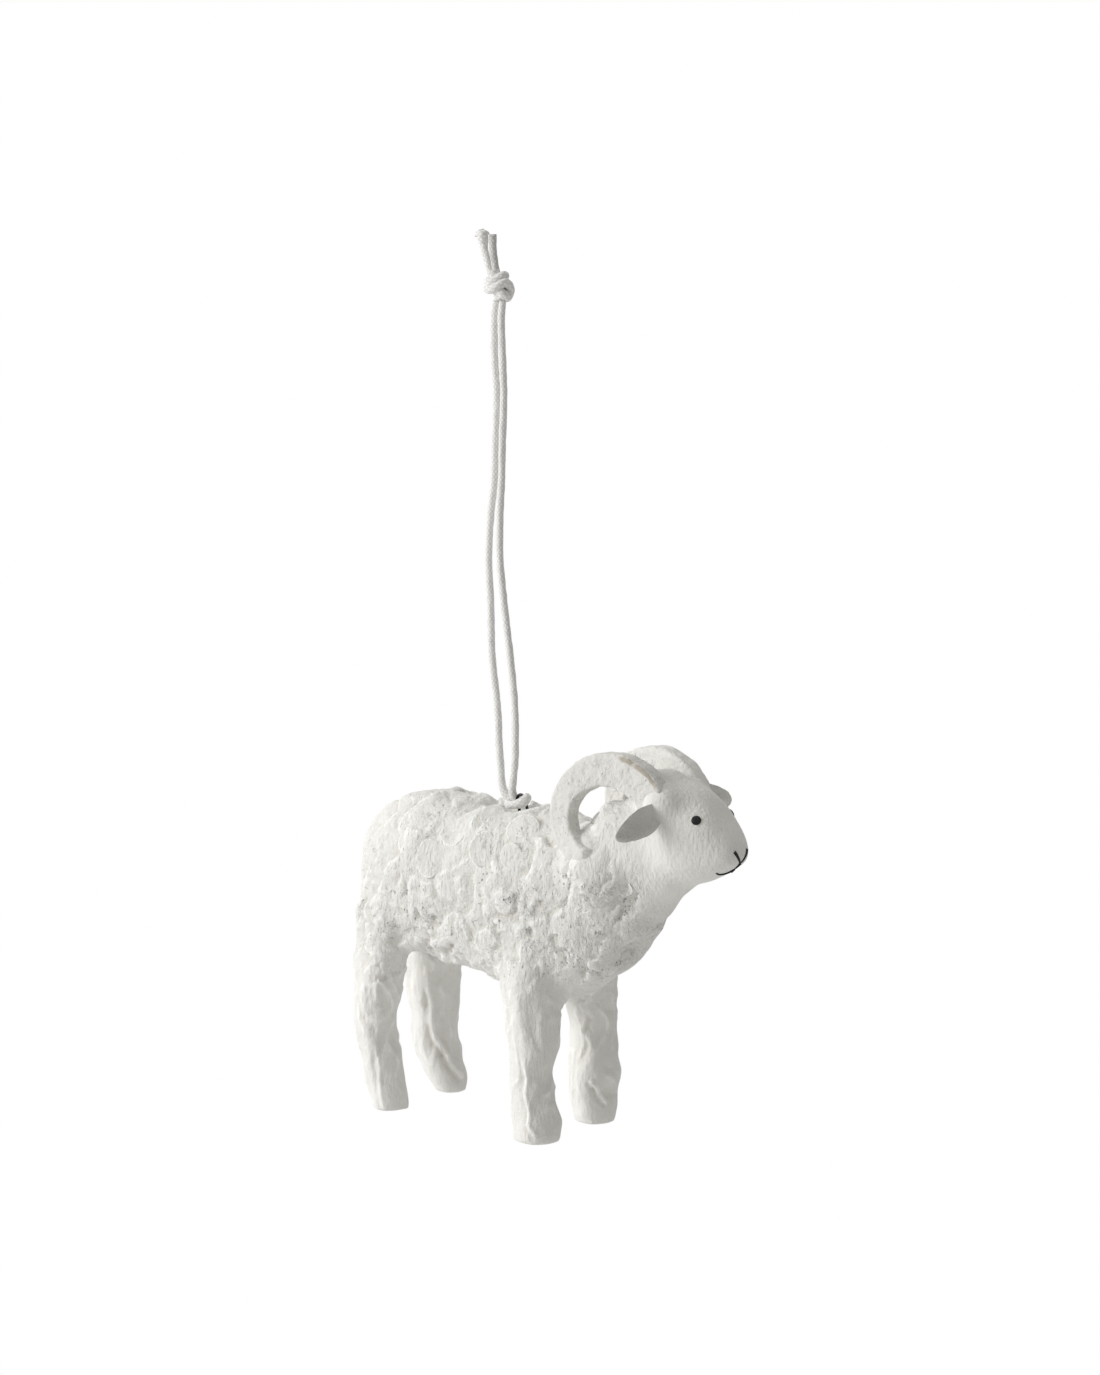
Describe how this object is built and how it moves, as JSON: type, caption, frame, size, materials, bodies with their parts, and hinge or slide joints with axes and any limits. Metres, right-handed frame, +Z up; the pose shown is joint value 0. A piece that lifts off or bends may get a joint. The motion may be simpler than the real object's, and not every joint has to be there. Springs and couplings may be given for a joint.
{
  "type": "hanging animal ornament",
  "caption": "Papier-mache ram with open curled horns, cupped ears and a curly fleece, hung by a wire eye in its back from a knotted loop of cord.",
  "frame": {"origin": "inside the cord loop, just under its knot, where a hook or twig carries the ornament", "axes": "+Z up along the hanging cord, +X towards the ram's nose, +Y towards the ram's left"},
  "size_m": [0.115, 0.0512, 0.218],
  "materials": {
    "pulp": "matte",
    "newsprint": "matte",
    "armature_wire": "satin",
    "eye_wire": "satin",
    "black_paint": "satin",
    "cotton_cord": "matte"
  },
  "bodies": {
    "hanger": {"cord_knot": "cotton_cord", "cord_tail_rear": "cotton_cord", "cord_tail_front": "cotton_cord"},
    "cord": {"cord_strand_rear": "cotton_cord", "cord_strand_front": "cotton_cord"},
    "hitch": {"cord_hitch": "cotton_cord"},
    "ram": {"torso_shell": "pulp", "neck": "pulp", "head": "pulp", "front_leg_right": "pulp", "front_leg_left": "pulp", "rear_leg_right": "pulp", "rear_leg_left": "pulp", "horn_right": "pulp", "horn_left": "pulp", "ear_right": "pulp", "ear_left": "pulp", "curl_right_1": "pulp", "curl_right_2": "pulp", "curl_right_3": "pulp", "curl_right_4": "pulp", "curl_right_5": "pulp", "curl_right_6": "pulp", "curl_right_7": "pulp", "curl_right_8": "pulp", "curl_right_9": "pulp", "curl_right_10": "pulp", "curl_right_11": "pulp", "curl_right_12": "pulp", "curl_left_1": "pulp", "curl_left_2": "pulp", "curl_left_3": "pulp", "curl_left_4": "pulp", "curl_left_5": "pulp", "curl_left_6": "pulp", "curl_left_7": "pulp", "curl_left_8": "pulp", "curl_left_9": "pulp", "curl_left_10": "pulp", "curl_left_11": "pulp", "curl_left_12": "pulp", "paper_core": "newsprint", "head_core": "newsprint", "spine_wire": "armature_wire", "front_leg_wire": "armature_wire", "rear_leg_wire": "armature_wire", "hanging_eye": "eye_wire", "eye_right": "black_paint", "eye_left": "black_paint"}
  },
  "joints": [
    {"name": "cord_twist", "type": "hinge", "parent": "hanger", "child": "cord", "pos_m": [0, 0, 0], "axis": [-0.0595, 0, 0.9982], "range_deg": [-180, 180]},
    {"name": "hitch_sway", "type": "hinge", "parent": "cord", "child": "hitch", "pos_m": [0.007, 0, -0.1175], "axis": [1, 0, 0], "range_deg": [-25, 25]},
    {"name": "eye_nod", "type": "hinge", "parent": "hitch", "child": "ram", "pos_m": [0.007, 0, -0.1197], "axis": [0, 1, 0], "range_deg": [-25, 25]}
  ]
}
